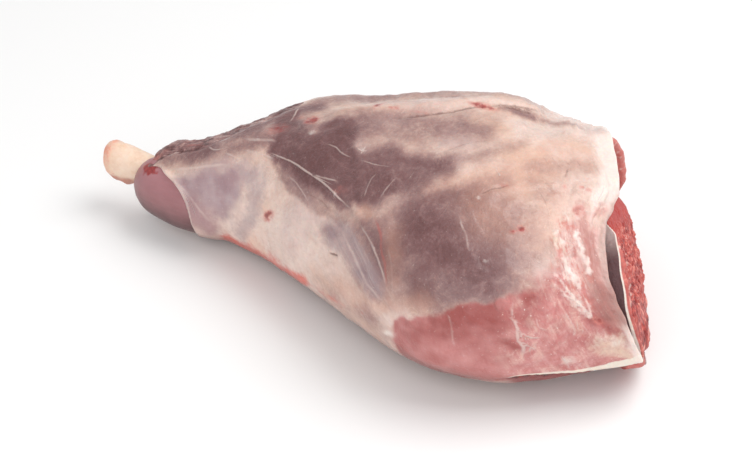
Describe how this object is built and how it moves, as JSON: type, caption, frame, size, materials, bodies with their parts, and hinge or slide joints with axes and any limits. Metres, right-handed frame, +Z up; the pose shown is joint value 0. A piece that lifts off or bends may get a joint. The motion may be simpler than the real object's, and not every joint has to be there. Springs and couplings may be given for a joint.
{
  "type": "raw leg of lamb",
  "caption": "Raw bone-in leg of lamb lying on its side, with a bare shank bone end, a fat-covered thigh and an oblique cut through the chump.",
  "frame": {"origin": "centre of the underside of the leg's bounding box", "axes": "+X along the leg from the shank bone to the cut, +Y to the shin and knee side, +Z up with the outer side of the thigh on top"},
  "size_m": [0.354, 0.1954, 0.1098],
  "materials": {
    "raw_lamb": "moist, satin",
    "bare_bone": "damp, satin"
  },
  "bodies": {
    "root": {"leg_meat": "raw_lamb", "shank_bone": "bare_bone"}
  },
  "joints": []
}
